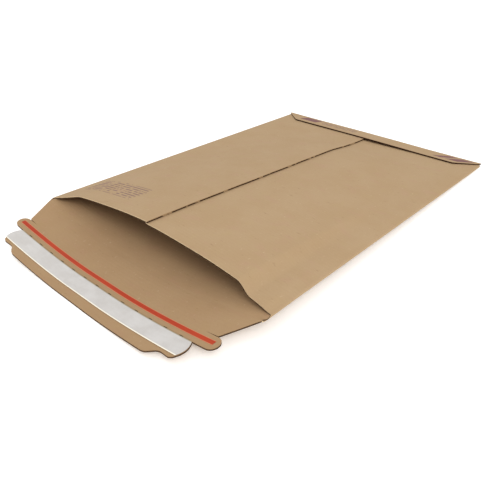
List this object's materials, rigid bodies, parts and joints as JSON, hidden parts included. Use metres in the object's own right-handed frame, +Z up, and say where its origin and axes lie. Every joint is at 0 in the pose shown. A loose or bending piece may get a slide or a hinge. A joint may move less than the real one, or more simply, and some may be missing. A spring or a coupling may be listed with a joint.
{
  "type": "rigid cardboard mailer",
  "caption": "Rigid mailer of thin fluted board, lapped and glued into a flat pouch, open at its mouth, with a hinged closure flap, tear strip and covered adhesive.",
  "frame": {"origin": "middle of the plan's box at the floor, under the lower wall", "axes": "+X across the mailer to its right side fold, +Y from the mouth to the closed end, +Z up from the lower wall"},
  "size_m": [0.248, 0.4116, 0.0335],
  "materials": {
    "kraft_board": "matt natural kraft",
    "red_film": "satin film",
    "adhesive": "tacky",
    "white_liner": "silicone coated paper",
    "glue": "dried glue"
  },
  "bodies": {
    "pouch": {"mailer_pouch": "kraft_board", "seam_glue_line": "glue", "end_glue_line": "glue"},
    "flap": {"closure_flap": "kraft_board", "tear_tape": "red_film", "adhesive_strip": "adhesive", "release_liner": "white_liner"}
  },
  "joints": [
    {"name": "flap_crease", "type": "hinge", "parent": "pouch", "child": "flap", "pos_m": [0, -0.14535, 0.0136], "axis": [-1, 0, 0], "range_deg": [0, 145]}
  ]
}
